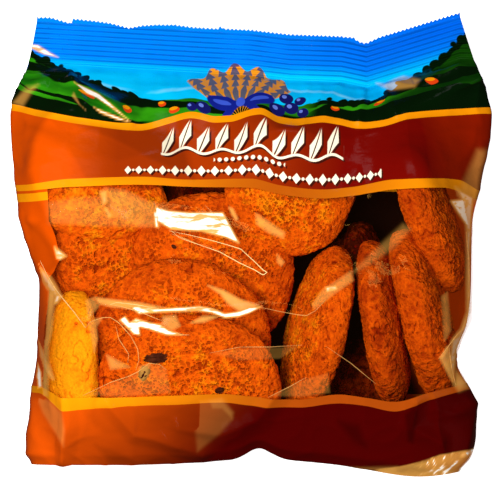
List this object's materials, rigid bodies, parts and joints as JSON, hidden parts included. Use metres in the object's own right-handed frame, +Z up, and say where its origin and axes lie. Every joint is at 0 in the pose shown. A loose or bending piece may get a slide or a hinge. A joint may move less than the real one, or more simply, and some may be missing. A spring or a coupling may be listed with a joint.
{
  "type": "bag of oatmeal raisin cookies",
  "caption": "Sealed film bag lying on its back, with a printed top and bottom band and a clear window over round oatmeal raisin cookies.",
  "frame": {"origin": "on the surface that the bag lies on, under the middle of its box", "axes": "+X to the right of the bag's front, +Y up the bag to its crimped seal, +Z up, out of its front"},
  "size_m": [0.2018, 0.1924, 0.0681],
  "materials": {
    "printed_film": "glossy thin film, printed in blue, green, gold and brown",
    "clear_film": "clear glossy thin film with fine creases",
    "cookie": "dry baked crumb, cracked and pitted",
    "raisin": "dark wrinkled skin with a slight sheen"
  },
  "bodies": {
    "root": {"cookie_bag": "printed_film"}
  },
  "joints": []
}
